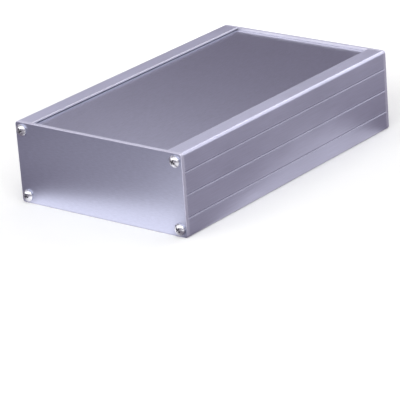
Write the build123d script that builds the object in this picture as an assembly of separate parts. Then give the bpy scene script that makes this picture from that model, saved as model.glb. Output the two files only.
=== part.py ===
# A closed instrument case of extruded aluminium, in millimetres.
# Two side rails hold a top and a bottom cover in their grooves, and an end panel with four
# screws closes each end.
# Frame: origin at the centre of the base, X across the case, Y along it with the front
# panel at -Y, Z up.

import os

from build123d import *

# Case
case_width = 103.0
case_length = 168.0  # over the two end panels, without the screw heads
case_height = 42.0
corner_radius = 1.5  # long outer edges of the rails and the corners of the panels
edge_break = 0.3  # bevel of a deburred edge

# Section of a side rail
rail_wall = 2.0
rim_thickness = 1.0
ledge_thickness = 1.2
cover_hold = 2.95  # how far a groove takes in the edge of a cover
vee_depth = 0.5
vee_width = 1.0
vee_pitch = 11.4
rib_thickness = 1.2
rib_reach = 2.2  # how far a guide rib stands out of the wall
guide_skin = 1.25  # wall left behind a guide slot

# Screw channels of a side rail
screw_inset = 4.0  # screw axis from the outer faces of the case
channel_bore = 2.8
channel_wall = 1.25
channel_mouth = 1.4

# Plates, and the circuit board that the guides take
cover_thickness = 1.5
panel_thickness = 2.0
board_thickness = 1.6

# Clearances
cover_play = 0.2  # over a cover in its groove
cover_side_gap = 0.15
cover_end_gap = 0.15
board_play = 0.2
core_gap = 0.05  # round a screw's core in its channel
hole_gap = 0.2  # round a screw's thread in the panel

# Screws
thread_diameter = 3.0
screw_reach = 8.0  # how far a screw enters its channel
point_length = 0.8
head_diameter = 6.0
head_height = 2.2
head_side = 0.8  # straight part of the head, under its dome
recess_span = 3.4
recess_foot = 1.4
recess_depth = 1.4
recess_blade = 0.7

# Places that follow from the sizes above
rail_length = case_length - 2 * panel_thickness
mid_height = case_height / 2
core_radius = channel_bore / 2 - core_gap
channel_radius = channel_bore / 2 + channel_wall
corner_block = screw_inset + channel_radius
rim_width = corner_block + cover_hold
groove_height = cover_thickness + cover_play
slot_height = board_thickness + board_play
guide_offset = vee_pitch / 2  # the guides lie between the outer lines, where the wall is whole
screw_span = case_width - 2 * screw_inset
screw_rise = case_height - 2 * screw_inset

# A rail's section is drawn with its outer face at x = 0 and its middle at y = 0
FROM_FACE = (Align.MAX, Align.CENTER)


def corner_section(side: int) -> Sketch:
    """Rim, ledge and the rounded block round the screw channel, at the top or the bottom."""
    rim_y = mid_height - rim_thickness / 2
    ledge_y = mid_height - rim_thickness - groove_height - ledge_thickness / 2
    rim = Pos(0, side * rim_y) * Rectangle(rim_width, rim_thickness, align=FROM_FACE)
    ledge = Pos(0, side * ledge_y) * Rectangle(rim_width, ledge_thickness, align=FROM_FACE)
    block_y = mid_height - corner_block / 2
    block = Pos(0, side * block_y) * Rectangle(corner_block, corner_block, align=FROM_FACE)
    inner_edge = block.vertices().group_by(Axis.X)[0].sort_by(Axis.Y)
    inner_corner = inner_edge[0] if side > 0 else inner_edge[-1]
    return rim + ledge + fillet(inner_corner, channel_radius)


def channel_section(side: int) -> Sketch:
    """Bore of a screw channel, with the mouth that runs out of it towards the inside."""
    mouth = Rectangle(2 * channel_radius, channel_mouth, align=(Align.MIN, Align.CENTER))
    opening = Circle(channel_bore / 2) + Rot(0, 0, 180 + side * 45) * mouth
    return Pos(-screw_inset, side * screw_rise / 2) * opening


def guide_section(side: int) -> Sketch:
    """The two ribs of a board guide, with the space between them filled."""
    ribs = Rectangle(rail_wall + rib_reach, slot_height + 2 * rib_thickness, align=FROM_FACE)
    return Pos(0, side * guide_offset) * ribs


def slot_section(side: int) -> Sketch:
    """The slot of a board guide, cut into the wall behind it."""
    slot = Rectangle(rail_wall + rib_reach - guide_skin, slot_height, align=FROM_FACE)
    return Pos(-guide_skin, side * guide_offset) * slot


def vee_section(line: int) -> Sketch:
    """One of the fine lines that run along the outer face."""
    outline = Polyline((0, vee_width / 2), (-vee_depth, 0), (0, -vee_width / 2), close=True)
    return Pos(0, line * vee_pitch) * make_face(outline)


def rail_section() -> Sketch:
    """Whole section of the right rail."""
    section = Rectangle(rail_wall, case_height, align=FROM_FACE)
    for side in (1, -1):
        section += corner_section(side) + guide_section(side)
    for side in (1, -1):
        section -= channel_section(side) + slot_section(side)
    for line in (-1, 0, 1):
        section -= vee_section(line)
    outer_corners = section.vertices().group_by(Axis.X)[-1].sort_by(Axis.Y)
    section = fillet([outer_corners[0], outer_corners[-1]], corner_radius)
    rim_edges = section.vertices().group_by(Axis.X)[0].sort_by(Axis.Y)
    return chamfer([rim_edges[0], rim_edges[-1]], edge_break)


def side_rail() -> Part:
    """Right side rail, extruded between the two end panels."""
    rail = extrude(Plane.XZ * rail_section(), rail_length / 2, both=True)
    return Pos(case_width / 2, 0, mid_height) * rail


def cover(seat_z: float) -> Part:
    """Cover plate that lies in the rails' grooves, its underside at the height given."""
    width = case_width - 2 * (corner_block + cover_side_gap)
    length = rail_length - 2 * cover_end_gap
    plate = Box(width, length, cover_thickness, align=(Align.CENTER, Align.CENTER, Align.MIN))
    return Pos(0, 0, seat_z) * plate


def screw_places() -> GridLocations:
    """The four screw axes of an end panel, in the panel's own plane."""
    return GridLocations(screw_span, screw_rise, 2, 2)


def end_panel() -> Part:
    """End panel with its outer face up, its inner face at z = 0."""
    outline = RectangleRounded(case_width, case_height, corner_radius)
    holes = screw_places() * Circle(thread_diameter / 2 + hole_gap)
    plate = extrude(outline, panel_thickness)
    face_edges = plate.faces().sort_by(Axis.Z)[-1].edges()
    return chamfer(face_edges, edge_break) - extrude(Sketch() + holes, panel_thickness)


def recess_blade_cut() -> Part:
    """One of the two tapered blades of the cross recess."""
    top = head_height + panel_thickness
    flare = (recess_span - recess_foot) / (2 * recess_depth)
    foot_z = head_height - recess_depth
    half_top = recess_foot / 2 + flare * (top - foot_z)
    half_foot = recess_foot / 2
    outline = Polyline((-half_top, top), (-half_foot, foot_z), (half_foot, foot_z), (half_top, top), close=True)
    return extrude(Plane.XZ * make_face(outline), recess_blade / 2, both=True)


def screw() -> Part:
    """Pan-head screw with a cross recess, head up, its head seated at z = 0."""
    dome_rise = head_height - head_side
    dome_radius = ((head_diameter / 2) ** 2 + dome_rise**2) / (2 * dome_rise)
    dome = Pos(0, 0, head_height - dome_radius) * Sphere(dome_radius)
    head = Cylinder(head_diameter / 2, head_height, align=(Align.CENTER, Align.CENTER, Align.MIN)) & dome
    shank_length = panel_thickness + screw_reach
    shank = Cylinder(core_radius, shank_length, align=(Align.CENTER, Align.CENTER, Align.MAX))
    shank = chamfer(shank.edges().sort_by(Axis.Z)[0], point_length, core_radius / 2)
    blade = recess_blade_cut()
    return head + shank - blade - Rot(0, 0, 90) * blade


def front_end(piece: Part, height: float) -> Part:
    """Stand a piece that was made face up at the front, its z = 0 at a distance from the middle."""
    return Pos(0, -height, mid_height) * Rot(90, 0, 0) * piece


def main() -> None:
    """Build every piece and write one file for each node."""
    right_rail = side_rail()
    panel = front_end(end_panel(), rail_length / 2)
    screws = front_end(Part() + screw_places() * screw(), case_length / 2)
    nodes = {
        "right_side_rail": right_rail,
        "left_side_rail": mirror(right_rail, about=Plane.YZ),
        "top_cover": cover(case_height - rim_thickness - groove_height),
        "bottom_cover": cover(rim_thickness),
        "front_panel": panel,
        "rear_panel": Rot(0, 0, 180) * panel,
        "front_panel_screws": screws,
        "rear_panel_screws": Rot(0, 0, 180) * screws,
    }
    os.makedirs("parts", exist_ok=True)
    for name, piece in nodes.items():
        export_step(piece, f"parts/{name}.step")


if __name__ == "__main__":
    main()
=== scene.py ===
"""Looks of a closed instrument case made of extruded aluminium.

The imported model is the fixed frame: it gives the place and size of every part. Each
sub-assembly is a class that builds its mesh and dresses it, and each finish is a frozen
dataclass that builds one procedural material. Lengths are in metres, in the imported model's
frame, with the front panel at -Y and Z up.
"""

from __future__ import annotations

import logging
import math
from abc import ABC, abstractmethod
from collections.abc import Mapping, Sequence
from dataclasses import dataclass
from enum import Enum

import bmesh
import bpy
from bpy.types import Material, Mesh, Node, NodeSocket, NodeTree, Object
from mathutils import Matrix, Vector


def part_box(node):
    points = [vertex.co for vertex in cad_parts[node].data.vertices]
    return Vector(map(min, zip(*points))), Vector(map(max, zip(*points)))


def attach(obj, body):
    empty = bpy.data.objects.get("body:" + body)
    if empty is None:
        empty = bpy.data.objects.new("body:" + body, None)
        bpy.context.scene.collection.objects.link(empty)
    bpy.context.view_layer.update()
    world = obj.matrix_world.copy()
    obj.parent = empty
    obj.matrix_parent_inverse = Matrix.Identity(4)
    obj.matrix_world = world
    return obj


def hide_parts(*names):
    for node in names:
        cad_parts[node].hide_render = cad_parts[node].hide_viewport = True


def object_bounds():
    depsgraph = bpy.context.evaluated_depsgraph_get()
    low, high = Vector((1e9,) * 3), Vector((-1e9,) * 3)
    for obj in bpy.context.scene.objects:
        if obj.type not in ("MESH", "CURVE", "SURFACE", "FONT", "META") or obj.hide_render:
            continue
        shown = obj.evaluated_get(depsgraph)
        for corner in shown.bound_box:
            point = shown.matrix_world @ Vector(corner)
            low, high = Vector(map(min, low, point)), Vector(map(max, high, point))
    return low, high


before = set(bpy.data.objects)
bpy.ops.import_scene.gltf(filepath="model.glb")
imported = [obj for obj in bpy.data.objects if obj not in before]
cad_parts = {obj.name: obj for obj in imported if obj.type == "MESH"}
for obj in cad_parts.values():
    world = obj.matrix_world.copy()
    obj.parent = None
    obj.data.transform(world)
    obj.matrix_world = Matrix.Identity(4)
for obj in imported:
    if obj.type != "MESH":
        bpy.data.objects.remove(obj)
CAD_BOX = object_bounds()

Number = float | NodeSocket
Triple = tuple[float, float, float]

LOG = logging.getLogger("instrument_case")
MM = 0.001
BODY = "root"
SHADER = "Principled BSDF"
BEVEL_WEIGHT = "bevel_weight_edge"
BEVEL_SEGMENTS = 3
SMOOTH_BELOW = math.radians(38)
ARC_STEP = math.radians(12)
LARGEST_FACE = 100  # weight at which the largest face at a point decides its normal
SAME_POINT = 1e-7  # points of a new mesh that are nearer than this are one
WELD = 0.002 * MM  # points that are nearer than this after a cut are one
IN_PLANE = 0.03 * MM  # a face nearer than this to a surface lies in it
FACING = 0.98  # a face's normal has more than this along an axis that it faces
END_SHARE = 0.499  # of a bar's length: its cut ends lie further than this from its middle
NOISE_RANGE = (0.3, 0.7)  # nearly all values of a noise lie between these
CORNER_RADIUS = 1.5 * MM  # the long outer edges of the case
SCREW_INSET = 4.0 * MM  # from the outer faces of the case to a screw's axis
SHEET_LEVEL = 0.4 * MM  # how high a light on the floor lies


class Hand(Enum):
    """Side of the case that a rail stands on."""

    LEFT = -1
    RIGHT = 1


class End(Enum):
    """End of the case that a panel closes."""

    FRONT = -1
    REAR = 1


class Level(Enum):
    """Height at which a cover lies."""

    BOTTOM = -1
    TOP = 1


class Grain(Enum):
    """Axis that the fine lines of a finish run along."""

    ACROSS = 0
    LENGTHWISE = 1


SCREW_SEEDS = {End.FRONT: 3, End.REAR: 8}  # how far each screw of an end is turned


# Helpers for node trees


class NodeSheet:
    """Adds nodes to one tree and links their sockets."""

    def __init__(self, tree: NodeTree) -> None:
        """Keep the shader or geometry tree that the nodes go into."""
        self.tree = tree

    def fill(self, node: Node, inputs: Mapping[str | int, object]) -> Node:
        """Fill or link inputs of a node.

        Args:
            node: The node.
            inputs: For each socket name or number, a constant or the socket to link from.

        Returns:
            The node.
        """
        for name, value in inputs.items():
            if isinstance(value, NodeSocket):
                self.tree.links.new(value, node.inputs[name])
            else:
                node.inputs[name].default_value = value
        return node

    def add(
        self, kind: str, inputs: Mapping[str | int, object] | None = None, **settings: object
    ) -> Node:
        """Add a node, set its properties, and fill or link its inputs.

        Args:
            kind: The node's type name.
            inputs: For each socket name or number, a constant or the socket to link from.
            **settings: Properties of the node itself.

        Returns:
            The new node.
        """
        node = self.tree.nodes.new(kind)
        for name, value in settings.items():
            setattr(node, name, value)
        return self.fill(node, inputs or {})

    def result(
        self, kind: str, inputs: Mapping[str | int, object] | None = None, **settings: object
    ) -> NodeSocket:
        """Add a node in the same way, and give its first output."""
        return self.add(kind, inputs, **settings).outputs[0]

    def place(self) -> NodeSocket:
        """Object coordinates."""
        return self.add("ShaderNodeTexCoord").outputs["Object"]

    def math(self, operation: str, *values: Number) -> NodeSocket:
        """Work out one operation on numbers or sockets."""
        return self.result("ShaderNodeMath", dict(enumerate(values)), operation=operation)

    def remap(
        self,
        value: NodeSocket,
        source: Sequence[Number],
        target: Sequence[Number] = (0.0, 1.0),
        smooth: bool = False,
    ) -> NodeSocket:
        """Map a value from one range onto another, and stay inside that.

        Args:
            value: The value.
            source: Ends of its own range.
            target: Results at those ends.
            smooth: Whether the result leaves and reaches its ends gently.

        Returns:
            The mapped value's socket.
        """
        sockets = ("From Min", "From Max", "To Min", "To Max")
        inputs = {0: value} | dict(zip(sockets, (*source, *target)))
        course = "SMOOTHSTEP" if smooth else "LINEAR"
        return self.result("ShaderNodeMapRange", inputs, interpolation_type=course)

    def span(self, noise: NodeSocket, low: float, high: float) -> NodeSocket:
        """Map a noise value onto a range."""
        return self.remap(noise, NOISE_RANGE, (low, high))

    def blend(self, share: NodeSocket, dark: Triple, light: Triple) -> NodeSocket:
        """Mix two colours by a value between 0 and 1.

        Args:
            share: The share of the light colour.
            dark: Colour at 0.
            light: Colour at 1.

        Returns:
            The mixed colour's socket.
        """
        ramp = self.add("ShaderNodeValToRGB", {0: share})
        for stop, colour in zip(ramp.color_ramp.elements, (dark, light)):
            stop.color = (*colour, 1.0)
        return ramp.outputs[0]

    def noise(self, place: NodeSocket, size: float, detail: float = 2.0) -> NodeSocket:
        """Add a noise with features of about one size, and finer octaves by its detail."""
        inputs = {"Vector": place, "Scale": 1 / size, "Detail": detail}
        return self.result("ShaderNodeTexNoise", inputs)

    def end(self, geometry: NodeSocket) -> NodeTree:
        """Send a geometry to the tree's output, and give the tree."""
        self.add("NodeGroupOutput", {0: geometry})
        return self.tree


def new_tree(name: str, inputs: Mapping[str, str]) -> tuple[NodeSheet, Mapping[str, NodeSocket]]:
    """Start a geometry tree with a geometry input and further named inputs.

    Args:
        name: The tree's name.
        inputs: For each further input, its kind: Float, Int or Material.

    Returns:
        The tree's node sheet, and the sockets of its inputs by name.
    """
    tree = bpy.data.node_groups.new(name, "GeometryNodeTree")
    new_socket = tree.interface.new_socket
    new_socket(name="Geometry", in_out="OUTPUT", socket_type="NodeSocketGeometry")
    for title, kind in ({"Geometry": "Geometry"} | inputs).items():
        new_socket(name=title, in_out="INPUT", socket_type=f"NodeSocket{kind}")
    start = tree.nodes.new("NodeGroupInput")
    return NodeSheet(tree), {socket.name: socket for socket in start.outputs if socket.name}


def run_tree(thing: Object, tree: NodeTree, values: Mapping[str, object]) -> None:
    """Run a geometry tree on an object and keep the result as its plain mesh.

    Args:
        thing: The object whose mesh goes in.
        tree: The tree.
        values: The tree's inputs by name.
    """
    modifier = thing.modifiers.new(tree.name, "NODES")
    modifier.node_group = tree
    for item in tree.interface.items_tree:
        if item.in_out == "INPUT" and item.name in values:
            modifier[item.identifier] = values[item.name]
    settle(thing)


# Helpers for meshes


def link_object(name: str, data: bpy.types.ID) -> Object:
    """Put a new object in the scene.

    Args:
        name: The object's name.
        data: Its mesh, light or camera.

    Returns:
        The object.
    """
    thing = bpy.data.objects.new(name, data)
    bpy.context.scene.collection.objects.link(thing)
    return thing


def settle(thing: Object) -> None:
    """Replace an object's mesh by what its modifiers make of it, and drop them.

    Args:
        thing: The object to bake down to a plain mesh.
    """
    graph = bpy.context.evaluated_depsgraph_get()
    mesh = bpy.data.meshes.new_from_object(thing.evaluated_get(graph))
    thing.modifiers.clear()
    thing.data = mesh


def mesh_of(name: str, build: bmesh.types.BMesh) -> Mesh:
    """Turn a bmesh into a mesh.

    Args:
        name: The mesh's name.
        build: The bmesh, which is freed.

    Returns:
        The mesh.
    """
    mesh = bpy.data.meshes.new(name)
    build.to_mesh(mesh)
    build.free()
    return mesh


def closed_mesh(name: str, build: bmesh.types.BMesh) -> Mesh:
    """Turn a closed bmesh into a mesh whose faces point outwards.

    Args:
        name: The mesh's name.
        build: The bmesh, which is freed.

    Returns:
        The mesh.
    """
    bmesh.ops.remove_doubles(build, verts=build.verts, dist=SAME_POINT)
    bmesh.ops.recalc_face_normals(build, faces=build.faces)
    return mesh_of(name, build)


def flat_mesh(name: str, points: Sequence[Sequence[float]], finish: Material) -> Mesh:
    """Make a mesh of one flat face.

    Args:
        name: The mesh's name.
        points: The face's corners, in order.
        finish: Its finish.

    Returns:
        The mesh.
    """
    build = bmesh.new()
    build.faces.new([build.verts.new(point) for point in points])
    mesh = mesh_of(name, build)
    mesh.materials.append(finish)
    return mesh


def loft(rings: Sequence[Sequence[Vector]]) -> bmesh.types.BMesh:
    """Join rings of points by walls, and close the first and the last.

    Args:
        rings: Rings with the same number of points.

    Returns:
        The closed bmesh.
    """
    build = bmesh.new()
    loops = [[build.verts.new(point) for point in ring] for ring in rings]
    count = len(loops[0])
    for low, high in zip(loops, loops[1:]):
        for index in range(count):
            ahead = (index + 1) % count
            build.faces.new((low[index], low[ahead], high[ahead], high[index]))
    build.faces.new(loops[0])
    build.faces.new(loops[-1])
    return build


def add_finishes(mesh: Mesh, *finishes: Material) -> range:
    """Append finishes to a mesh.

    Args:
        mesh: The mesh.
        *finishes: The finishes, in order.

    Returns:
        Their indices on the mesh.
    """
    start = len(mesh.materials)
    for finish in finishes:
        mesh.materials.append(finish)
    return range(start, len(mesh.materials))


def round_edges(thing: Object, width: float) -> None:
    """Round the weighted edges, then shade the piece so that its flat faces stay flat.

    Args:
        thing: The piece, with bevel weights on the edges to round.
        width: Width of the rounding at weight 1.
    """
    bevel = thing.modifiers.new("Rounded edges", "BEVEL")
    bevel.limit_method = "WEIGHT"
    bevel.width = width
    bevel.segments = BEVEL_SEGMENTS
    bevel.use_clamp_overlap = False
    settle(thing)
    shade_by_angle(thing.data)
    even = thing.modifiers.new("Even shading", "WEIGHTED_NORMAL")
    even.weight = LARGEST_FACE
    even.keep_sharp = True
    settle(thing)


def shade_by_angle(mesh: Mesh) -> None:
    """Shade a mesh smooth, apart from edges that turn sharply.

    Args:
        mesh: The mesh to shade.
    """
    mesh.shade_smooth()
    mesh.set_sharp_from_angle(angle=SMOOTH_BELOW)


def cut(thing: Object, cutter: Mesh) -> None:
    """Cut a closed mesh out of a piece.

    Args:
        thing: The piece.
        cutter: The shape to take away, which is used up.
    """
    tool = link_object(f"{thing.name}_cutter", cutter)
    boolean = thing.modifiers.new("Cut", "BOOLEAN")
    boolean.operation = "DIFFERENCE"
    boolean.solver = "EXACT"
    boolean.object = tool
    settle(thing)
    bpy.data.objects.remove(tool)
    build = bmesh.new()
    build.from_mesh(thing.data)
    bmesh.ops.remove_doubles(build, verts=build.verts, dist=WELD)
    bmesh.ops.dissolve_degenerate(build, dist=WELD, edges=build.edges)
    build.to_mesh(thing.data)
    build.free()


def seat(piece: Object, node: str) -> Object:
    """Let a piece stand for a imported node, on the case's one body.

    Args:
        piece: The finished piece.
        node: The node that it replaces.

    Returns:
        The piece.
    """
    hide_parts(node)
    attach(piece, BODY)
    return piece


# Outlines


class Stretch(ABC):
    """Stretch of an outline."""

    @property
    @abstractmethod
    def first(self) -> Vector:
        """Point that the stretch before runs towards."""

    @property
    @abstractmethod
    def last(self) -> Vector:
        """Point that the stretch after runs away from."""

    @abstractmethod
    def points(self, before: Vector, after: Vector) -> list[Vector]:
        """Points of the stretch, between its two neighbours.

        Args:
            before: Last point of the stretch before.
            after: First point of the stretch after.

        Returns:
            The points, in order.
        """

    @abstractmethod
    def mirrored(self) -> Stretch:
        """The same stretch below the middle line, run through the other way."""


@dataclass(frozen=True)
class Corner(Stretch):
    """Corner of an outline, rounded by a radius, which is 0 for a sharp one."""

    x: float
    y: float
    radius: float = 0.0

    @property
    def first(self) -> Vector:
        """The corner's own place."""
        return Vector((self.x, self.y))

    @property
    def last(self) -> Vector:
        """The corner's own place."""
        return self.first

    def points(self, before: Vector, after: Vector) -> list[Vector]:
        """Points of the rounding, or the corner itself.

        Args:
            before: Last point of the stretch before.
            after: First point of the stretch after.

        Returns:
            The points, in order.
        """
        if not self.radius:
            return [self.first]
        back = (before - self.first).normalized()
        ahead = (after - self.first).normalized()
        half = back.angle(ahead) / 2
        centre = self.first + (back + ahead).normalized() * (self.radius / math.sin(half))
        trim = self.radius / math.tan(half)
        start = self.first + back * trim - centre
        end = self.first + ahead * trim - centre
        turn = start.angle(end)
        steps = max(2, math.ceil(turn / ARC_STEP))
        found = []
        for share in (step / steps for step in range(steps + 1)):
            spoke = start * math.sin(turn * (1 - share)) + end * math.sin(turn * share)
            found.append(centre + spoke / math.sin(turn))
        return found

    def mirrored(self) -> Corner:
        """The same corner below the middle line."""
        return Corner(self.x, -self.y, self.radius)


@dataclass(frozen=True)
class Arc(Stretch):
    """Part of a circle, from one angle to another in radians."""

    x: float
    y: float
    radius: float
    start: float
    end: float

    def at(self, angle: float) -> Vector:
        """Point of the circle at an angle."""
        return Vector((self.x, self.y)) + self.radius * Vector((math.cos(angle), math.sin(angle)))

    @property
    def first(self) -> Vector:
        """The arc's first point."""
        return self.at(self.start)

    @property
    def last(self) -> Vector:
        """The arc's last point."""
        return self.at(self.end)

    def points(self, before: Vector, after: Vector) -> list[Vector]:
        """Points of the arc, whatever its neighbours are.

        Args:
            before: Last point of the stretch before; not used.
            after: First point of the stretch after; not used.

        Returns:
            The points, in order.
        """
        turn = self.end - self.start
        steps = max(2, math.ceil(abs(turn) / ARC_STEP))
        return [self.at(self.start + turn * step / steps) for step in range(steps + 1)]

    def mirrored(self) -> Arc:
        """The same arc below the middle line, run through the other way."""
        return Arc(self.x, -self.y, self.radius, -self.end, -self.start)


def outline(stretches: Sequence[Stretch]) -> list[Vector]:
    """Run round a closed outline once.

    Args:
        stretches: Its corners and arcs, in order.

    Returns:
        Its points, in order.
    """
    found: list[Vector] = []
    for index, stretch in enumerate(stretches):
        ahead = stretches[(index + 1) % len(stretches)]
        found += stretch.points(stretches[index - 1].last, ahead.first)
    return found


def rectangle(width: float, height: float, radius: float) -> list[Vector]:
    """Outline of a rounded rectangle about the origin.

    Args:
        width: Size along x.
        height: Size along y.
        radius: Radius of its corners.

    Returns:
        Its points, in order.
    """
    sides = ((1, -1), (1, 1), (-1, 1), (-1, -1))
    return outline([Corner(x * width / 2, y * height / 2, radius) for x, y in sides])


def four_corners(across: float, along: float) -> tuple[tuple[float, float], ...]:
    """Corners of a rectangle about the origin.

    Args:
        across: How far along x they lie from it.
        along: How far along y they lie from it.

    Returns:
        The corners, in order.
    """
    return (-across, -along), (across, -along), (across, along), (-across, along)


# Finishes


def new_material(name: str) -> tuple[Material, NodeSheet]:
    """Start a material with nodes.

    Args:
        name: The material's name.

    Returns:
        The material and its node sheet.
    """
    material = bpy.data.materials.new(name)
    material.use_nodes = True
    return material, NodeSheet(material.node_tree)


@dataclass(frozen=True)
class MetalFinish(ABC):
    """Metal whose tone, roughness and relief follow noises."""

    name: str
    dark: Triple
    light: Triple
    roughness: float
    roughness_swing: float

    @abstractmethod
    def pattern(
        self, sheet: NodeSheet, place: NodeSocket
    ) -> tuple[NodeSocket, NodeSocket, NodeSocket]:
        """Draw the finish's noises.

        Args:
            sheet: The material's node sheet.
            place: The object coordinates.

        Returns:
            The share of the light tone, the noise that the roughness follows, and the normal.
        """

    def material(self) -> Material:
        """Build the finish.

        Returns:
            The material.
        """
        material, sheet = new_material(self.name)
        tone, wear, normal = self.pattern(sheet, sheet.place())
        low, high = self.roughness - self.roughness_swing, self.roughness + self.roughness_swing
        looks = {
            "Base Color": sheet.blend(tone, self.dark, self.light),
            "Metallic": 1.0,
            "Roughness": sheet.span(wear, low, high),
            "Normal": normal,
        }
        sheet.fill(sheet.tree.nodes[SHADER], looks)
        return material


@dataclass(frozen=True)
class SatinFinish(MetalFinish):
    """Anodised aluminium: a satin metal with drawn lines, a fine grain and faint clouds."""

    grain: Grain
    line_pitch: float = 0.5 * MM
    line_length: float = 14 * MM
    line_depth: float = 0.35
    line_detail: float = 3.0
    grit_size: float = 0.35 * MM
    grit_depth: float = 0.4
    cloud_size: float = 45 * MM
    cloud_share: float = 0.5
    cloud_detail: float = 1.5
    relief: float = 0.004 * MM

    def pattern(
        self, sheet: NodeSheet, place: NodeSocket
    ) -> tuple[NodeSocket, NodeSocket, NodeSocket]:
        """Draw the lines, which are long along the grain, and the grit and the clouds.

        Args:
            sheet: The material's node sheet.
            place: The object coordinates.

        Returns:
            The share of the light tone, the noise that the roughness follows, and the normal.
        """
        scale = [1 / self.line_pitch] * 3
        scale[self.grain.value] = 1 / self.line_length
        along = sheet.result("ShaderNodeMapping", {"Vector": place, "Scale": scale})
        lines = sheet.noise(along, 1.0, self.line_detail)
        grit = sheet.noise(place, self.grit_size)
        cloud = sheet.noise(place, self.cloud_size, self.cloud_detail)
        clouded = sheet.span(cloud, 0.0, self.cloud_share)
        tone = sheet.math("ADD", clouded, sheet.span(lines, 0.0, 1.0 - self.cloud_share))
        relief = {"Height": grit, "Strength": self.grit_depth, "Distance": self.relief}
        fine = sheet.result("ShaderNodeBump", relief)
        relief |= {"Height": lines, "Strength": self.line_depth, "Normal": fine}
        return tone, lines, sheet.result("ShaderNodeBump", relief)


@dataclass(frozen=True)
class PlatedFinish(MetalFinish):
    """Bright nickel plate on a small formed steel part."""

    mottle_size: float = 0.9 * MM
    mottle_detail: float = 3.0
    mottle_depth: float = 0.4
    relief: float = 0.008 * MM

    def pattern(
        self, sheet: NodeSheet, place: NodeSocket
    ) -> tuple[NodeSocket, NodeSocket, NodeSocket]:
        """Draw the mottle.

        Args:
            sheet: The material's node sheet.
            place: The object coordinates.

        Returns:
            The share of the light tone, the noise that the roughness follows, and the normal.
        """
        mottle = sheet.noise(place, self.mottle_size, self.mottle_detail)
        relief = {"Height": mottle, "Strength": self.mottle_depth, "Distance": self.relief}
        return sheet.span(mottle, 0.0, 1.0), mottle, sheet.result("ShaderNodeBump", relief)


RAIL_FINISH = SatinFinish(
    "anodised_rail",
    (0.522, 0.533, 0.652),
    (0.626, 0.639, 0.784),
    0.42,
    0.03,
    Grain.LENGTHWISE,
    line_depth=0.3,
)
# Painted shade: a darker copy of the rail's finish on the flanks of the fine lines, standing in
# for the shade in them.
GROOVE_SHADE_FINISH = SatinFinish(
    "groove_painted_shade", (0.36, 0.365, 0.45), (0.45, 0.455, 0.56), 0.5, 0.03, Grain.LENGTHWISE
)
COVER_FINISH = SatinFinish(
    "anodised_cover",
    (0.335, 0.343, 0.448),
    (0.397, 0.406, 0.531),
    0.28,
    0.006,
    Grain.LENGTHWISE,
    line_length=3 * MM,
    line_depth=0.025,
    cloud_share=0.12,
)
PANEL_FINISH = SatinFinish(
    "anodised_panel",
    (0.455, 0.476, 0.594),
    (0.521, 0.544, 0.677),
    0.38,
    0.015,
    Grain.ACROSS,
    line_length=3 * MM,
    line_depth=0.12,
    cloud_share=0.12,
)
# Painted highlight: a much lighter copy of the rail's finish on the rims' upright inner edges,
# standing in for the light they catch.
RIM_HIGHLIGHT_FINISH = SatinFinish(
    "rim_edge_painted_highlight", (0.68, 0.69, 0.76), (0.76, 0.77, 0.85), 0.54, 0.03, Grain.ACROSS
)
# Painted highlight: a near-white copy of the panel's finish on the panels' inner faces, standing
# in for the light they reflect.
INNER_HIGHLIGHT_FINISH = SatinFinish(
    "inner_face_painted_highlight", (0.92, 0.915, 0.94), (0.96, 0.955, 0.975), 0.38, 0.03, Grain.ACROSS
)
# Painted highlight: a lighter copy of the panel's finish on the panels' thin sides and rounded
# edges.
BEVEL_HIGHLIGHT_FINISH = SatinFinish(
    "panel_edge_painted_highlight", (0.64, 0.645, 0.75), (0.70, 0.705, 0.82), 0.56, 0.03, Grain.ACROSS
)
NICKEL_FINISH = PlatedFinish("nickel_plate", (0.56, 0.57, 0.60), (0.72, 0.73, 0.76), 0.28, 0.05)
# Painted shade: a darker copy of the nickel plate in the screws' cross recesses, standing in for
# the shade inside them.
RECESS_SHADE_FINISH = PlatedFinish("recess_painted_shade", (0.30, 0.30, 0.33), (0.42, 0.42, 0.45), 0.35, 0.05)
FINISHES = (
    RAIL_FINISH,
    GROOVE_SHADE_FINISH,
    COVER_FINISH,
    PANEL_FINISH,
    RIM_HIGHLIGHT_FINISH,
    INNER_HIGHLIGHT_FINISH,
    BEVEL_HIGHLIGHT_FINISH,
    NICKEL_FINISH,
    RECESS_SHADE_FINISH,
)


# Extruded pieces


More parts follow.
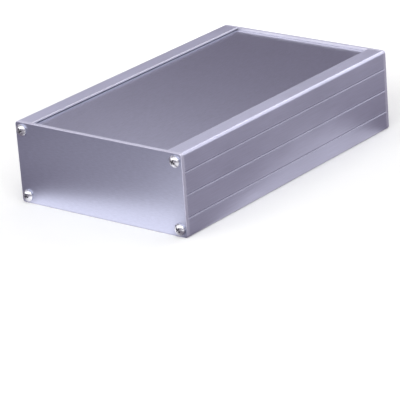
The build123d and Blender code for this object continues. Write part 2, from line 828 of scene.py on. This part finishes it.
@dataclass(frozen=True)
class RailSection:
    """Section of the extruded rail, with x in from its outer face and y up from its middle."""

    height: float
    rim_width: float
    soft_edge: float = 0.12 * MM
    rim_edge: float = 0.3 * MM
    rim_thickness: float = 1.0 * MM
    groove_height: float = 1.7 * MM
    ledge_thickness: float = 1.2 * MM
    cover_hold: float = 2.95 * MM
    wall: float = 2.0 * MM
    vee_depth: float = 0.5 * MM
    vee_half_width: float = 0.5 * MM
    vee_pitch: float = 11.4 * MM
    bore_radius: float = 1.4 * MM
    mouth_half_width: float = 0.7 * MM
    rib_tip: float = 4.2 * MM
    rib_thickness: float = 1.2 * MM
    slot_height: float = 1.8 * MM
    slot_floor: float = 1.25 * MM

    def vee(self, level: float) -> list[Stretch]:
        """One fine line of the outer face, from below to above.

        Args:
            level: Height of its middle.

        Returns:
            Its corners, in order.
        """
        lip = self.soft_edge
        return [
            Corner(0, level - self.vee_half_width, lip),
            Corner(self.vee_depth, level),
            Corner(0, level + self.vee_half_width, lip),
        ]

    def rim(self) -> list[Stretch]:
        """Outer corner, rim, cover groove and ledge, down to the screw channel's block.

        Returns:
            Their corners, in order.
        """
        top = self.height / 2
        root = self.rim_width - self.cover_hold
        under = top - self.rim_thickness
        ledge_top = under - self.groove_height
        return [
            Corner(0, top, CORNER_RADIUS),
            Corner(self.rim_width, top, self.rim_edge),
            Corner(self.rim_width, under, self.soft_edge),
            Corner(root, under),
            Corner(root, ledge_top),
            Corner(self.rim_width, ledge_top, self.soft_edge),
            Corner(self.rim_width, ledge_top - self.ledge_thickness, self.soft_edge),
        ]

    def channel(self) -> list[Stretch]:
        """Screw channel with its slanted mouth, and the round block that holds it.

        Returns:
            Their arcs, in order, and the corner where the block meets the wall.
        """
        axis = SCREW_INSET, self.height / 2 - SCREW_INSET
        block_radius = self.rim_width - self.cover_hold - SCREW_INSET
        rim = self.rim_thickness + self.groove_height + self.ledge_thickness
        mouth = -math.pi / 4
        inner = math.asin(self.mouth_half_width / self.bore_radius)
        outer = math.asin(self.mouth_half_width / block_radius)
        start = math.asin((self.height / 2 - rim - axis[1]) / block_radius)
        return [
            Arc(*axis, block_radius, start, mouth + outer),
            Arc(*axis, self.bore_radius, mouth + inner, mouth - inner + math.tau),
            Arc(*axis, block_radius, mouth - outer, -math.pi / 2),
            Corner(self.wall, axis[1] - block_radius),
        ]

    def guide(self) -> list[Stretch]:
        """The two ribs of a board guide, with the slot between them.

        Returns:
            Their corners, in order.
        """
        middle = self.vee_pitch / 2
        slot = self.slot_height / 2
        edge = slot + self.rib_thickness
        return [
            Corner(self.wall, middle + edge),
            Corner(self.rib_tip, middle + edge, self.soft_edge),
            Corner(self.rib_tip, middle + slot, self.soft_edge),
            Corner(self.slot_floor, middle + slot),
            Corner(self.slot_floor, middle - slot),
            Corner(self.rib_tip, middle - slot, self.soft_edge),
            Corner(self.rib_tip, middle - edge, self.soft_edge),
            Corner(self.wall, middle - edge),
        ]

    def points(self) -> list[Vector]:
        """Go round the whole section, the upper half first.

        Returns:
            Its points, in order.
        """
        middle, *above_middle = self.vee(0.0)[1:]
        upper = above_middle + self.vee(self.vee_pitch)
        upper += self.rim() + self.channel() + self.guide()
        lower = [stretch.mirrored() for stretch in reversed(upper)]
        return outline([middle, *upper, *lower])


def extrusion_tree() -> NodeTree:
    """Build the tree that draws a section out along Y and marks its cut ends for rounding.

    Returns:
        The tree.
    """
    sheet, given = new_tree("extrusion", {"Length": "Float", "Finish": "Material"})
    section = given["Geometry"]
    ahead = sheet.result("ShaderNodeCombineXYZ", {"Y": 1.0})
    way = {"Mesh": section, "Offset": ahead, "Offset Scale": given["Length"], "Individual": False}
    drawn = sheet.result("GeometryNodeExtrudeMesh", way, mode="FACES")
    start = sheet.result("GeometryNodeFlipFaces", {"Mesh": section})
    joined = sheet.add("GeometryNodeJoinGeometry")
    for part in (drawn, start):
        sheet.fill(joined, {0: part})
    both = {"Geometry": joined.outputs[0], "Distance": SAME_POINT}
    closed = sheet.result("GeometryNodeMergeByDistance", both)
    place = sheet.result("GeometryNodeInputPosition")
    level = sheet.math("ABSOLUTE", sheet.add("ShaderNodeSeparateXYZ", {0: place}).outputs["Y"])
    at_end = sheet.math("GREATER_THAN", level, sheet.math("MULTIPLY", given["Length"], END_SHARE))
    mark = {"Geometry": closed, "Name": BEVEL_WEIGHT, "Value": at_end}
    kind = {"data_type": "FLOAT", "domain": "EDGE"}
    marked = sheet.result("GeometryNodeStoreNamedAttribute", mark, **kind)
    real = sheet.result("GeometryNodeRealizeInstances", {0: marked})
    dress = {"Geometry": real, "Material": given["Finish"]}
    return sheet.end(sheet.result("GeometryNodeSetMaterial", dress))


@dataclass(frozen=True)
class Extrusion:
    """Straight bar with one section along Y, and cut ends that are slightly rounded."""

    name: str
    section: Sequence[Vector]
    length: float
    finish: Material
    end_edge: float = 0.1 * MM

    def build(self, tree: NodeTree) -> Object:
        """Draw the bar.

        Args:
            tree: The extrusion tree.

        Returns:
            The bar, with its place in its mesh.
        """
        start = [(point.x, -self.length / 2, point.y) for point in self.section]
        mesh = flat_mesh(self.name, start, self.finish)
        if mesh.polygons[0].normal.y < 0:
            mesh.flip_normals()
        bar = link_object(self.name, mesh)
        run_tree(bar, tree, {"Length": self.length, "Finish": self.finish})
        round_edges(bar, self.end_edge)
        return bar


@dataclass(frozen=True)
class SideRail:
    """Extruded rail: outer wall, rims, cover grooves, screw channels and board guides."""

    hand: Hand
    finish: Material
    inner_edge_highlight_finish: Material
    groove_shade_finish: Material

    def build(self, tree: NodeTree) -> Object:
        """Make the rail and put it in its node's place.

        Args:
            tree: The extrusion tree.

        Returns:
            The finished piece.
        """
        side = self.hand.name.lower()
        node = f"{side}_side_rail"
        low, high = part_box(node)
        section = RailSection(height=high.z - low.z, rim_width=high.x - low.x)
        face = high.x if self.hand is Hand.RIGHT else low.x
        middle = (low.z + high.z) / 2
        placed = [
            Vector((face - self.hand.value * point.x, middle + point.y))
            for point in section.points()
        ]
        rail = Extrusion(f"{side}_rail", placed, high.y - low.y, self.finish).build(tree)
        self.dress(rail.data, face, section)
        return seat(rail, node)

    def dress(self, mesh: Mesh, face: float, section: RailSection) -> None:
        """Paint a highlight on the rims' upright inner edges, and shade on the flanks of the fine
        lines.

        Args:
            mesh: The rail's mesh.
            face: The x of its outer face.
            section: Its section.
        """
        bright, line_shade = add_finishes(mesh, self.inner_edge_highlight_finish, self.groove_shade_finish)
        middle = section.height / 2
        lines = section.vee_pitch + section.vee_half_width
        inner_edge = section.rim_width - section.rim_edge
        for polygon in mesh.polygons:
            depth = abs(face - polygon.center.x)
            rise = abs(polygon.center.z - middle)
            slanted = abs(polygon.normal.x) < FACING
            # Painted highlight on the rims' upright inner edges, painted shade on the flanks of
            # the fine lines.
            if depth > inner_edge and rise > middle - section.rim_thickness:
                polygon.material_index = bright
            elif 0 < depth < section.vee_depth and rise < lines and slanted:
                polygon.material_index = line_shade


@dataclass(frozen=True)
class CoverPlate:
    """Flat cover that lies in the grooves of both rails."""

    level: Level
    finish: Material
    edge: float = 0.12 * MM

    def build(self, tree: NodeTree) -> Object:
        """Make the cover and put it in its node's place.

        Args:
            tree: The extrusion tree.

        Returns:
            The finished piece.
        """
        node = f"{self.level.name.lower()}_cover"
        low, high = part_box(node)
        size = high - low
        middle = Vector(((low.x + high.x) / 2, (low.z + high.z) / 2))
        section = [point + middle for point in rectangle(size.x, size.z, self.edge)]
        bar = Extrusion(f"{node}_plate", section, size.y, self.finish, self.edge)
        return seat(bar.build(tree), node)


# End panels


@dataclass(frozen=True)
class EndPanel:
    """Flat end panel with four screw holes and a rounded outer edge."""

    end: End
    finish: Material
    inner_highlight_finish: Material
    bevel_highlight_finish: Material
    outer_edge: float = 0.3 * MM
    inner_edge_share: float = 0.3
    hole_radius: float = 1.7 * MM
    hole_steps: int = 40

    def loops(self, width: float, height: float) -> list[list[Vector]]:
        """Outline of the panel and of its holes, about its middle.

        Args:
            width: The panel's width.
            height: The panel's height.

        Returns:
            The loops of points, the outline first.
        """
        angles = [math.tau * step / self.hole_steps for step in range(self.hole_steps)]
        hole = [self.hole_radius * Vector((math.cos(angle), math.sin(angle))) for angle in angles]
        screws = four_corners(width / 2 - SCREW_INSET, height / 2 - SCREW_INSET)
        holes = [[Vector(screw) + point for point in hole] for screw in screws]
        return [rectangle(width, height, CORNER_RADIUS), *holes]

    def build(self) -> Object:
        """Make the panel and put it in its node's place.

        Returns:
            The finished piece.
        """
        node = f"{self.end.name.lower()}_panel"
        low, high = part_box(node)
        middle = (low + high) / 2
        inner, outer = (high.y, low.y) if self.end is End.FRONT else (low.y, high.y)
        build = bmesh.new()
        for loop in self.loops(high.x - low.x, high.z - low.z):
            ring = [build.verts.new((middle.x + p.x, inner, middle.z + p.y)) for p in loop]
            for index, vertex in enumerate(ring):
                build.edges.new((ring[index - 1], vertex))
        bmesh.ops.triangle_fill(build, edges=build.edges, use_beauty=True)
        drawn = bmesh.ops.extrude_face_region(build, geom=build.faces[:])["geom"]
        moved = [part for part in drawn if isinstance(part, bmesh.types.BMVert)]
        bmesh.ops.translate(build, verts=moved, vec=(0, outer - inner, 0))
        self.weigh(build, inner, outer)
        panel = link_object(f"{node}_plate", closed_mesh(node, build))
        add_finishes(panel.data, self.finish)
        round_edges(panel, self.outer_edge)
        self.dress(panel.data, inner)
        return seat(panel, node)

    def weigh(self, build: bmesh.types.BMesh, inner: float, outer: float) -> None:
        """Mark the edges to round: the outer rim in full, the inner rim and the holes less.

        Args:
            build: The panel's bmesh.
            inner: The y of its inner face.
            outer: The y of its outer face.
        """
        low, high = CAD_BOX
        weight = build.edges.layers.float.new(BEVEL_WEIGHT)
        for edge in build.edges:
            if len(edge.link_faces) != 2 or edge.calc_face_angle() < SMOOTH_BELOW:
                continue
            centre = (edge.verts[0].co + edge.verts[1].co) / 2
            gap = min(centre.x - low.x, high.x - centre.x, centre.z - low.z, high.z - centre.z)
            on_rim = gap < CORNER_RADIUS
            at_face = abs(centre.y - outer) < abs(centre.y - inner)
            edge[weight] = 1.0 if on_rim and at_face else self.inner_edge_share

    def dress(self, mesh: Mesh, inner: float) -> None:
        """Give the inner face a painted highlight, and the thin sides and rounded edges a fainter
        one.

        Args:
            mesh: The panel's mesh.
            inner: The y of its inner face.
        """
        lit_face, lit_side = add_finishes(mesh, self.inner_highlight_finish, self.bevel_highlight_finish)
        for polygon in mesh.polygons:
            # Painted highlights: the inner face, then the thin sides and rounded edges, get
            # lighter copies of the panel's finish.
            if abs(polygon.center.y - inner) < IN_PLANE:
                polygon.material_index = lit_face
            elif abs(polygon.normal.y) < FACING:
                polygon.material_index = lit_side


# Screws


@dataclass(frozen=True)
class ScrewBlank:
    """Pan-head screw with a cross recess, head up, its head seated at z = 0."""

    shank_length: float
    head_radius: float = 3.0 * MM
    head_height: float = 2.2 * MM
    head_side: float = 0.8 * MM
    head_edge: float = 0.2 * MM
    crest_radius: float = 1.38 * MM
    plain_length: float = 0.6 * MM
    point_length: float = 0.8 * MM
    thread_pitch: float = 0.5 * MM
    rings_per_turn: int = 6
    dome_steps: int = 10
    spokes: int = 40
    recess_span: float = 3.4 * MM
    recess_foot: float = 1.4 * MM
    recess_depth: float = 1.4 * MM
    blade_top: float = 0.86 * MM
    blade_foot: float = 0.56 * MM

    def dome_height(self, radius: float) -> float:
        """Height of the domed head at a distance from its axis.

        Args:
            radius: The distance.

        Returns:
            The height.
        """
        rise = self.head_height - self.head_side
        ball = (self.head_radius**2 + rise**2) / (2 * rise)
        return self.head_height - ball + math.sqrt(ball**2 - radius**2)

    def profile(self) -> list[Vector]:
        """Radius and height along the screw.

        Returns:
            The points, from the top of its head to its point.
        """
        reach = self.head_radius - self.head_edge
        radii = [reach * (step + 1) / self.dome_steps for step in range(self.dome_steps)]
        dome = [Vector((radius, self.dome_height(radius))) for radius in radii]
        side = [
            Corner(reach, self.dome_height(reach)),
            Corner(self.head_radius, self.head_side, self.head_edge),
            Corner(self.head_radius, 0, self.head_edge / 2),
            Corner(self.crest_radius, 0),
        ]
        end = self.point_length - self.shank_length
        rings = math.ceil(-end / self.thread_pitch * self.rings_per_turn)
        shank = [Vector((self.crest_radius, end * (ring + 1) / rings)) for ring in range(rings)]
        tip = [Vector((self.crest_radius / 2, -self.shank_length))]
        return dome + outline(side)[1:] + shank + tip

    def turned(self) -> bmesh.types.BMesh:
        """Turn the profile round the screw's axis.

        Returns:
            The closed bmesh.
        """
        angles = [math.tau * spoke / self.spokes for spoke in range(self.spokes)]
        turns = [(math.cos(angle), math.sin(angle)) for angle in angles]
        rings = [
            [Vector((point.x * cosine, point.x * sine, point.y)) for cosine, sine in turns]
            for point in self.profile()
        ]
        return loft(rings)

    def cross(self, span: float, blade: float, level: float) -> list[Vector]:
        """Outline of the cross recess at one level.

        Args:
            span: Length of a blade from tip to tip.
            blade: Width of a blade.
            level: Its height.

        Returns:
            The points, in order.
        """
        tip, half = span / 2, blade / 2
        arm = [(tip, -half), (tip, half), (half, half)]
        turns = [Matrix.Rotation(math.pi / 2 * quarter, 2) for quarter in range(4)]
        corners = [Corner(*(turn @ Vector(spot)), half / 2) for turn in turns for spot in arm]
        return [Vector((point.x, point.y, level)) for point in outline(corners)]

    def recess(self) -> Mesh:
        """Make the tapered cross that is taken out of the head.

        Returns:
            Its closed mesh.
        """
        foot = self.head_height - self.recess_depth
        above = self.head_height + self.recess_depth
        flare = (above - foot) / self.recess_depth
        top_span = self.recess_foot + (self.recess_span - self.recess_foot) * flare
        top_blade = self.blade_foot + (self.blade_top - self.blade_foot) * flare
        low_ring = self.cross(self.recess_foot, self.blade_foot, foot)
        return closed_mesh("recess", loft([low_ring, self.cross(top_span, top_blade, above)]))

    def build(self, name: str) -> Object:
        """Make one screw, with its recess marked by an attribute, for painted shade.

        Args:
            name: The object's name.

        Returns:
            The screw, still without thread.
        """
        blank = link_object(name, closed_mesh(name, self.turned()))
        cut(blank, self.recess())
        mesh = blank.data
        shade_by_angle(mesh)
        mark = mesh.attributes.new("recess", "FLOAT", "FACE")
        foot = self.head_height - self.recess_depth
        for polygon in mesh.polygons:
            centre = polygon.center
            inside = centre.xy.length < self.recess_span / 2 and centre.z > foot - IN_PLANE
            below_dome = centre.z < self.dome_height(centre.xy.length) - IN_PLANE
            mark.data[polygon.index].value = float(inside and below_dome)
        return blank


def thread(
    sheet: NodeSheet, given: Mapping[str, NodeSocket], geometry: NodeSocket
) -> NodeSocket:
    """Press a thread into a shank: the radius follows a wave that climbs as it goes round.

    Args:
        sheet: The tree's node sheet.
        given: The tree's inputs.
        geometry: The plain screw.

    Returns:
        The threaded screw's socket.
    """
    place = sheet.result("GeometryNodeInputPosition")
    x, y, z = sheet.add("ShaderNodeSeparateXYZ", {0: place}).outputs
    turn = sheet.math("DIVIDE", sheet.math("ARCTAN2", y, x), math.tau)
    climb = sheet.math("SUBTRACT", sheet.math("DIVIDE", z, given["Pitch"]), turn)
    flank = sheet.math("MULTIPLY", sheet.math("PINGPONG", climb, 0.5), 2.0)
    top = sheet.math("MULTIPLY", given["Plain length"], -1.0)
    run_in = sheet.remap(z, (top, sheet.math("SUBTRACT", top, given["Pitch"])))
    depth = sheet.math("MULTIPLY", sheet.math("MULTIPLY", given["Thread depth"], flank), run_in)
    flat = sheet.result("ShaderNodeCombineXYZ", {"X": x, "Y": y})
    outwards = sheet.result("ShaderNodeVectorMath", {0: flat}, operation="NORMALIZE")
    inwards = {0: outwards, "Scale": sheet.math("MULTIPLY", depth, -1.0)}
    shift = sheet.result("ShaderNodeVectorMath", inwards, operation="SCALE")
    below = sheet.math("LESS_THAN", z, top)
    moved = {"Geometry": geometry, "Selection": below, "Offset": shift}
    return sheet.result("GeometryNodeSetPosition", moved)


def screw_tree() -> NodeTree:
    """Build the tree that threads a screw, sets one at each corner of a panel and paints shade
    into the recesses.

    Returns:
        The tree.
    """
    sizes = ("Across", "Up", "Seat", "Middle", "Heading", "Pitch", "Thread depth", "Plain length")
    others = {"Seed": "Int", "Finish": "Material", "Recess shade finish": "Material"}
    sheet, given = new_tree("screw_set", dict.fromkeys(sizes, "Float") | others)
    screw = thread(sheet, given, given["Geometry"])
    grid = {"Size X": given["Across"], "Size Y": given["Up"], "Vertices X": 2, "Vertices Y": 2}
    spots = sheet.result("GeometryNodeMeshGrid", grid)
    turns = {0: (0.0, 0.0, 0.0), 1: (0.0, 0.0, math.tau), "Seed": given["Seed"]}
    turn = sheet.result("FunctionNodeRandomValue", turns, data_type="FLOAT_VECTOR")
    places = {"Points": spots, "Instance": screw, "Rotation": turn}
    placed = sheet.result("GeometryNodeInstanceOnPoints", places)
    upright = sheet.result("ShaderNodeCombineXYZ", {"X": math.pi / 2, "Z": given["Heading"]})
    site = sheet.result("ShaderNodeCombineXYZ", {"Y": given["Seat"], "Z": given["Middle"]})
    stand = {"Geometry": placed, "Rotation": upright, "Translation": site}
    stood = sheet.result("GeometryNodeTransform", stand)
    real = sheet.result("GeometryNodeRealizeInstances", {0: stood})
    plate = {"Geometry": real, "Material": given["Finish"]}
    plated = sheet.result("GeometryNodeSetMaterial", plate)
    # Painted shade: the faces of the cross recess get the darker recess finish.
    recess = sheet.result("GeometryNodeInputNamedAttribute", {"Name": "recess"}, data_type="FLOAT")
    dress = {"Geometry": plated, "Selection": recess, "Material": given["Recess shade finish"]}
    return sheet.end(sheet.result("GeometryNodeSetMaterial", dress))


@dataclass(frozen=True)
class ScrewSet:
    """The four screws of one end panel, each turned as it was left."""

    end: End
    finish: Material
    recess_shade_finish: Material
    seed: int
    thread_depth: float = 0.16 * MM

    def build(self, tree: NodeTree) -> Object:
        """Make the screws and put them in their node's place.

        Args:
            tree: The screw tree.

        Returns:
            The finished piece.
        """
        panel = f"{self.end.name.lower()}_panel"
        node = f"{panel}_screws"
        low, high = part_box(node)
        panel_low, panel_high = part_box(panel)
        at_front = self.end is End.FRONT
        face, tip = (panel_low.y, high.y) if at_front else (panel_high.y, low.y)
        blank = ScrewBlank(shank_length=abs(face - tip))
        screws = blank.build(f"{node}_set")
        add_finishes(screws.data, self.finish, self.recess_shade_finish)
        values = {
            "Across": panel_high.x - panel_low.x - 2 * SCREW_INSET,
            "Up": panel_high.z - panel_low.z - 2 * SCREW_INSET,
            "Seat": face,
            "Middle": (panel_low.z + panel_high.z) / 2,
            "Heading": 0.0 if at_front else math.pi,
            "Pitch": blank.thread_pitch,
            "Thread depth": self.thread_depth,
            "Plain length": blank.plain_length,
            "Seed": self.seed,
            "Finish": self.finish,
            "Recess shade finish": self.recess_shade_finish,
        }
        run_tree(screws, tree, values)
        return seat(screws, node)


# Studio


@dataclass(frozen=True)
class SoftBox:
    """Rectangular light that the camera doesn't see."""

    name: str
    place: Triple
    width: float
    height: float
    power: float
    aim: Triple = (0, 0, 0)

    @classmethod
    def on_floor(
        cls, name: str, x: float, y: float, width: float, height: float, power: float
    ) -> SoftBox:
        """Light that lies on the floor and shines straight up."""
        return cls(name, (x, y, SHEET_LEVEL), width, height, power, (x, y, 1))

    def build(self) -> None:
        """Hang the light and turn it to its aim."""
        data = bpy.data.lights.new(self.name, "AREA")
        data.shape = "RECTANGLE"
        data.size = self.width
        data.size_y = self.height
        data.energy = self.power
        light = link_object(self.name, data)
        light.location = self.place
        sight = Vector(self.aim) - Vector(self.place)
        light.rotation_euler = sight.to_track_quat("-Z", "Y").to_euler()
        light.visible_camera = False


@dataclass(frozen=True)
class Mat:
    """Pale mat under the case, turned a little, that only the metal sees."""

    width: float = 90 * MM
    length: float = 194 * MM
    turn: float = math.radians(-15.5)
    place: tuple[float, float] = (18 * MM, -12.9 * MM)
    level: float = 0.3 * MM
    soft_edge: float = 6 * MM
    rear_limit: float = 78 * MM
    fade: tuple[float, float] = (-60 * MM, -22 * MM)
    strength: tuple[float, float] = (1.234, 0.449)

    def glow(self) -> Material:
        """Build its glow, which is stronger at the front and fades out over the soft edge.

        Returns:
            The material.
        """
        material, sheet = new_material("mat_glow")
        nodes = sheet.tree.nodes
        nodes.remove(nodes[SHADER])
        place = sheet.place()
        own = {"Vector": place, "Location": (*self.place, 0), "Rotation": (0, 0, self.turn)}
        turned = sheet.result("ShaderNodeMapping", own, vector_type="TEXTURE")
        x, y, _ = sheet.add("ShaderNodeSeparateXYZ", {0: turned}).outputs
        rear = sheet.add("ShaderNodeSeparateXYZ", {0: place}).outputs["Y"]
        depths = [
            sheet.math("SUBTRACT", size / 2, sheet.math("ABSOLUTE", value))
            for value, size in ((x, self.width), (y, self.length))
        ]
        inside = sheet.math("SMOOTH_MIN", *depths, self.soft_edge)
        depth = sheet.math("MINIMUM", inside, sheet.math("SUBTRACT", self.rear_limit, rear))
        strength = sheet.remap(y, self.fade, self.strength, smooth=True)
        edge = (-self.soft_edge, self.soft_edge)
        level = sheet.remap(depth, edge, (0.0, strength), smooth=True)
        light = sheet.result("ShaderNodeEmission", {"Strength": level})
        clear = sheet.result("ShaderNodeBsdfTransparent")
        both = sheet.result("ShaderNodeAddShader", {0: light, 1: clear})
        sheet.fill(nodes["Material Output"], {"Surface": both})
        return material

    def build(self) -> None:
        """Lay the mat just above the floor."""
        turn = Matrix.Rotation(self.turn, 4, "Z")
        reach = Matrix.Translation((*self.place, self.level)) @ turn
        corners = four_corners(self.width / 2 + self.soft_edge, self.length / 2 + self.soft_edge)
        spots = [reach @ Vector((x, y, 0)) for x, y in corners]
        mat = link_object("mat", flat_mesh("mat", spots, self.glow()))
        for ray in ("camera", "diffuse", "transmission", "volume_scatter", "shadow"):
            setattr(mat, f"visible_{ray}", False)


@dataclass(frozen=True)
class Viewpoint:
    """Camera that looks at the case from the photograph's side."""

    azimuth: float = math.radians(39.559)
    elevation: float = math.radians(21.188)
    roll: float = math.radians(-4.488)
    distance: float = 1.3149
    across: float = -5.24 * MM
    up: float = -18.17 * MM
    lens: float = 235.56
    sensor: float = 36.0
    sight: float = 20.0

    def build(self) -> None:
        """Set up the scene's camera."""
        level = math.cos(self.elevation)
        right = Vector((math.cos(self.azimuth), math.sin(self.azimuth), 0))
        back = Vector((right.y * level, -right.x * level, math.sin(self.elevation)))
        up = back.cross(right)
        side = right * math.cos(self.roll) + up * math.sin(self.roll)
        rise = up * math.cos(self.roll) - right * math.sin(self.roll)
        data = bpy.data.cameras.new("camera")
        data.lens = self.lens
        data.sensor_width = self.sensor
        data.clip_end = self.sight
        camera = link_object("camera", data)
        turn = Matrix((side, rise, back)).transposed().to_4x4()
        spot = back * self.distance + side * self.across + rise * self.up
        camera.matrix_world = Matrix.Translation(spot) @ turn
        bpy.context.scene.camera = camera


@dataclass(frozen=True)
class Studio:
    """Pale floor, soft light and a dim surround."""

    boxes: Sequence[SoftBox]
    mat: Mat
    surround: Triple = (0.266, 0.237, 0.287)
    backdrop: Triple = (1.0, 1.0, 1.0)
    floor_size: float = 12.0
    floor_tone: Triple = (0.93, 0.95, 0.91)
    floor_roughness: float = 0.9
    floor_specular: float = 0.1
    floor_glow: float = 0.5
    glow_ring: tuple[float, float] = (0.1, 0.35)

    def floor(self) -> None:
        """Lay the floor, which glows round the case and isn't mirrored by the metal."""
        material, sheet = new_material("floor_paper")
        from_middle = {0: sheet.place()}
        far = sheet.add("ShaderNodeVectorMath", from_middle, operation="LENGTH").outputs["Value"]
        looks = {
            "Base Color": (*self.floor_tone, 1),
            "Roughness": self.floor_roughness,
            "Specular IOR Level": self.floor_specular,
            "Emission Strength": sheet.remap(
                far, self.glow_ring, (0.0, self.floor_glow), smooth=True
            ),
        }
        sheet.fill(sheet.tree.nodes[SHADER], looks)
        spots = [(x, y, 0) for x, y in four_corners(self.floor_size / 2, self.floor_size / 2)]
        floor = link_object("floor", flat_mesh("floor", spots, material))
        floor.visible_glossy = False

    def world(self) -> None:
        """Make the surround: dim for the metal, pale where the camera looks past the floor."""
        world = bpy.data.worlds.new("surround")
        world.use_nodes = True
        sheet = NodeSheet(world.node_tree)
        direct = sheet.add("ShaderNodeLightPath").outputs["Is Camera Ray"]
        tone = sheet.blend(direct, self.surround, self.backdrop)
        sheet.fill(sheet.tree.nodes["Background"], {"Color": tone})
        bpy.context.scene.world = world

    def build(self) -> None:
        """Set up everything round the case."""
        self.floor()
        self.world()
        self.mat.build()
        for box in self.boxes:
            box.build()
        settings = bpy.context.scene.view_settings
        settings.view_transform = "Standard"
        settings.look = "None"
        bpy.context.scene.cycles.use_denoising = True


STUDIO = Studio(
    boxes=(
        SoftBox("front_box", (0, -0.778, 0.545), 1.0, 0.5, 3.3),
        SoftBox("low_left_box", (-0.483, -0.576, 0.274), 0.45, 0.25, 0.85),
        SoftBox("low_corner_box", (0.532, -0.532, 0.274), 0.45, 0.25, 0.57),
        SoftBox("high_corner_box", (0.46, -0.386, 0.601), 0.6, 0.5, 1.89),
        SoftBox("right_rear_box", (0.536, 0.639, 0.337), 0.9, 0.5, 1.94),
        SoftBox("high_rear_box", (0, 0.766, 0.643), 0.45, 0.35, 0.99),
        SoftBox("high_right_box", (0.198, 0.74, 0.643), 0.8, 0.5, 0.49),
        SoftBox("overhead_box", (0, 0, 0.55), 0.5, 0.5, 0.86),
        SoftBox("left_card", (-0.27, -0.06, 0.2), 0.25, 0.15, 0.08, (0, -0.05, 0.04)),
        SoftBox("far_left_card", (-0.3, 0.12, 0.17), 0.1, 0.1, 0.021, (-0.047, -0.06, 0.042)),
        SoftBox("back_card", (-0.2, 0.36, 0.36), 0.48, 0.13, 0.35, (-0.2, 0, 0.36)),
        SoftBox.on_floor("corner_sheet", 0.1125, -0.155, 0.115, 0.13, 0.05),
        SoftBox.on_floor("front_left_sheet", -0.05, -0.1725, 0.1, 0.095, 0.0063),
        SoftBox.on_floor("front_sheet", 0.0275, -0.1675, 0.055, 0.085, 0.0107),
        SoftBox.on_floor("side_sheet", 0.085, -0.052, 0.062, 0.06, 0.001),
        SoftBox.on_floor("near_right_sheet", 0.16, 0.115, 0.12, 0.17, 0.004),
        SoftBox.on_floor("right_sheet", 0.46, 0.2, 0.48, 0.8, 0.937),
        SoftBox.on_floor("left_sheet", -0.4, 0.15, 0.5, 0.5, 0.22),
        SoftBox.on_floor("rear_sheet", 0, 0.45, 0.6, 0.45, 0.25),
    ),
    mat=Mat(),
)


def main() -> None:
    """Build the case and the studio round it."""
    logging.basicConfig(level=logging.INFO, format="%(message)s")
    # groove, edge, inner, bevel and recess are finishes with painted light: shade in the fine
    # lines and screw recesses, highlights on the rims' inner edges and the panels' inner faces,
    # sides and rounded edges.
    rail, groove, cover, panel, edge, inner, bevel, nickel, recess = (
        finish.material() for finish in FINISHES
    )
    bar_tree, fastener_tree = extrusion_tree(), screw_tree()
    pieces = [SideRail(hand, rail, edge, groove).build(bar_tree) for hand in Hand]
    pieces += [CoverPlate(level, cover).build(bar_tree) for level in Level]
    pieces += [EndPanel(end, panel, inner, bevel).build() for end in End]
    pieces += [
        ScrewSet(end, nickel, recess, seed).build(fastener_tree)
        for end, seed in SCREW_SEEDS.items()
    ]
    for piece in pieces:
        LOG.info("%s: %d faces", piece.name, len(piece.data.polygons))
    STUDIO.build()
    Viewpoint().build()


if __name__ == "__main__":
    main()
